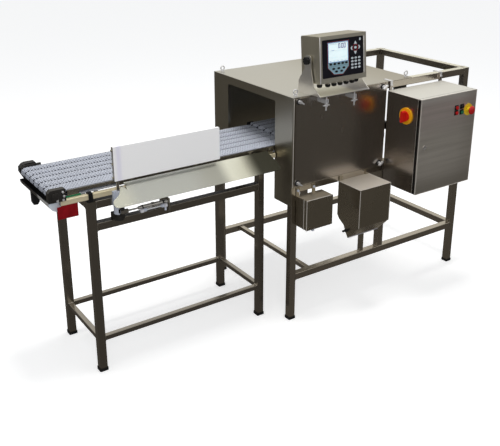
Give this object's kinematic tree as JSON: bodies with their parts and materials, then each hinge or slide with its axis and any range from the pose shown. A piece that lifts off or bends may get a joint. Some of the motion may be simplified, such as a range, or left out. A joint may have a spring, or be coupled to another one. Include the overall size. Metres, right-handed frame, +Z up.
{
  "type": "checkweigher",
  "caption": "Checkweigher with a weigh belt in a stainless frame, an outfeed belt with a swinging reject paddle and chute, a tilting indicator and a control box.",
  "frame": {"origin": "centre of the base on the floor, under the middle of the whole machine", "axes": "+X from the outfeed end to the infeed end, +Y away from the operator, +Z up"},
  "size_m": [2.521, 1.0352, 1.5452],
  "materials": {
    "stainless": "brushed, satin",
    "rubber": "matt",
    "black_plastic": "moulded",
    "belt": "moulded",
    "white_plastic": "machined sheet",
    "motor_black": "satin",
    "red_tag": "satin",
    "red_plastic": "glossy",
    "green_plastic": "glossy",
    "aluminium": "satin",
    "keypad": "printed film"
  },
  "bodies": {
    "root": {"air_cylinder": "black_plastic", "cabinet_panels": "stainless", "chute": "stainless", "control_backplate": "aluminium", "control_box": "stainless", "conveyor_bed": "stainless", "conveyor_rails": "stainless", "conveyor_side_plates": "stainless", "drive_bearing_blocks": "black_plastic", "drive_guard": "black_plastic", "frame_legs": "stainless", "frame_rails": "stainless", "front_panel": "stainless", "gearmotor": "motor_black", "hood": "stainless", "indicator_bracket": "stainless", "junction_box": "stainless", "junction_lid": "stainless", "lifting_eyes": "stainless", "load_cells": "aluminium", "nose_guard": "stainless", "outfeed_belt": "belt", "paddle_bearings": "white_plastic", "rail_clamps": "black_plastic", "red_tag": "red_tag", "rubber_feet": "rubber", "shaft_bearings": "black_plastic", "stand_legs": "stainless", "stand_rails": "stainless", "top_cover": "stainless", "wear_strips": "white_plastic", "weigh_belt": "belt", "weigh_carrier": "stainless", "weigh_side_plates": "stainless"},
    "outfeed_drive": {"outfeed_drive_shaft": "stainless"},
    "motor_output": {"motor_pulley": "black_plastic"},
    "outfeed_idler_shaft": {"outfeed_idler": "stainless"},
    "weigh_drive": {"weigh_drive_shaft": "stainless"},
    "weigh_idler_shaft": {"weigh_idler": "stainless"},
    "paddle": {"paddle_panel": "white_plastic", "paddle_shaft": "stainless", "paddle_lever": "stainless"},
    "piston": {"cylinder_rod": "stainless"},
    "latch_tl": {"panel_latch_tl": "black_plastic"},
    "latch_tr": {"panel_latch_tr": "black_plastic"},
    "latch_bl": {"panel_latch_bl": "black_plastic"},
    "latch_br": {"panel_latch_br": "black_plastic"},
    "door": {"control_door": "stainless", "button_bezels": "black_plastic"},
    "lock": {"door_lock": "stainless"},
    "btn_red_upper": {"button_red_upper": "red_plastic"},
    "btn_red_lower": {"button_red_lower": "red_plastic"},
    "btn_black": {"button_black": "black_plastic"},
    "btn_green": {"button_green": "green_plastic"},
    "estop": {"estop_head": "red_plastic"},
    "disconnect": {"disconnect_handle": "red_plastic"},
    "indicator": {"indicator_case": "stainless", "indicator_keypad": "keypad"},
    "knob_left": {"tilt_knob_left": "black_plastic"},
    "knob_right": {"tilt_knob_right": "black_plastic"}
  },
  "joints": [
    {"name": "outfeed_drive_spin", "type": "hinge", "parent": "root", "child": "outfeed_drive", "pos_m": [-1.222, 0.1096, 0.946], "axis": [0, 1, 0], "continuous": true},
    {"name": "motor_spin", "type": "hinge", "parent": "root", "child": "motor_output", "pos_m": [-1.164, 0.3546, 0.95], "axis": [0, 1, 0], "continuous": true},
    {"name": "outfeed_idler_spin", "type": "hinge", "parent": "root", "child": "outfeed_idler_shaft", "pos_m": [0.0575, 0.1096, 0.946], "axis": [0, 1, 0], "continuous": true},
    {"name": "weigh_drive_spin", "type": "hinge", "parent": "root", "child": "weigh_drive", "pos_m": [0.7655, 0.1096, 0.946], "axis": [0, 1, 0], "continuous": true},
    {"name": "weigh_idler_spin", "type": "hinge", "parent": "root", "child": "weigh_idler_shaft", "pos_m": [0.1095, 0.1096, 0.946], "axis": [0, 1, 0], "continuous": true},
    {"name": "paddle_swing", "type": "hinge", "parent": "root", "child": "paddle", "pos_m": [-0.9375, -0.10405, 0.9], "axis": [0, 0, 1], "range_deg": [0, 40]},
    {"name": "piston_slide", "type": "slide", "parent": "root", "child": "piston", "axis": [1, 0, 0], "range_m": [0, 0.0225]},
    {"name": "door_swing", "type": "hinge", "parent": "root", "child": "door", "pos_m": [1.0315, -0.4594, 0.9], "axis": [0, 0, 1], "range_deg": [0, 120]},
    {"name": "lock_turn", "type": "hinge", "parent": "door", "child": "lock", "pos_m": [0.6475, -0.4804, 0.938], "axis": [0, 1, 0], "range_deg": [0, 90]},
    {"name": "disconnect_turn", "type": "hinge", "parent": "root", "child": "disconnect", "pos_m": [0.6015, -0.3784, 1.096], "axis": [1, 0, 0], "range_deg": [0, 90]},
    {"name": "indicator_tilt", "type": "hinge", "parent": "root", "child": "indicator", "pos_m": [0.2415, -0.1904, 1.42], "axis": [1, 0, 0], "range_deg": [-25, 25]},
    {"name": "knob_left_turn", "type": "hinge", "parent": "indicator", "child": "knob_left", "pos_m": [0.0695, -0.1904, 1.42], "axis": [1, 0, 0], "continuous": true},
    {"name": "knob_right_turn", "type": "hinge", "parent": "indicator", "child": "knob_right", "pos_m": [0.4095, -0.1904, 1.42], "axis": [1, 0, 0], "continuous": true},
    {"name": "latch_tl_turn", "type": "hinge", "parent": "root", "child": "latch_tl", "pos_m": [-0.0015, -0.2404, 1.23], "axis": [0, 1, 0], "range_deg": [0, 90]},
    {"name": "latch_tr_turn", "type": "hinge", "parent": "root", "child": "latch_tr", "pos_m": [0.5655, -0.2404, 1.23], "axis": [0, 1, 0], "range_deg": [0, 90]},
    {"name": "latch_bl_turn", "type": "hinge", "parent": "root", "child": "latch_bl", "pos_m": [-0.0015, -0.2404, 0.799], "axis": [0, 1, 0], "range_deg": [0, 90]},
    {"name": "latch_br_turn", "type": "hinge", "parent": "root", "child": "latch_br", "pos_m": [0.5655, -0.2404, 0.799], "axis": [0, 1, 0], "range_deg": [0, 90]},
    {"name": "press_red_upper", "type": "slide", "parent": "door", "child": "btn_red_upper", "axis": [0, 1, 0], "range_m": [0, 0.003], "stiffness_N_per_m": 400, "springref_m": -0.002},
    {"name": "press_red_lower", "type": "slide", "parent": "door", "child": "btn_red_lower", "axis": [0, 1, 0], "range_m": [0, 0.003], "stiffness_N_per_m": 400, "springref_m": -0.002},
    {"name": "press_black", "type": "slide", "parent": "door", "child": "btn_black", "axis": [0, 1, 0], "range_m": [0, 0.003], "stiffness_N_per_m": 400, "springref_m": -0.002},
    {"name": "press_green", "type": "slide", "parent": "door", "child": "btn_green", "axis": [0, 1, 0], "range_m": [0, 0.003], "stiffness_N_per_m": 400, "springref_m": -0.002},
    {"name": "press_estop", "type": "slide", "parent": "door", "child": "estop", "axis": [0, 1, 0], "range_m": [0, 0.004], "stiffness_N_per_m": 800, "springref_m": -0.002}
  ],
  "couplings": [
    {"joint": "motor_spin", "follows": "outfeed_drive_spin", "ratio": 1},
    {"joint": "outfeed_idler_spin", "follows": "outfeed_drive_spin", "ratio": 1},
    {"joint": "weigh_idler_spin", "follows": "weigh_drive_spin", "ratio": 1},
    {"joint": "piston_slide", "follows": "paddle_swing", "m_per_rad": 0.0313}
  ]
}
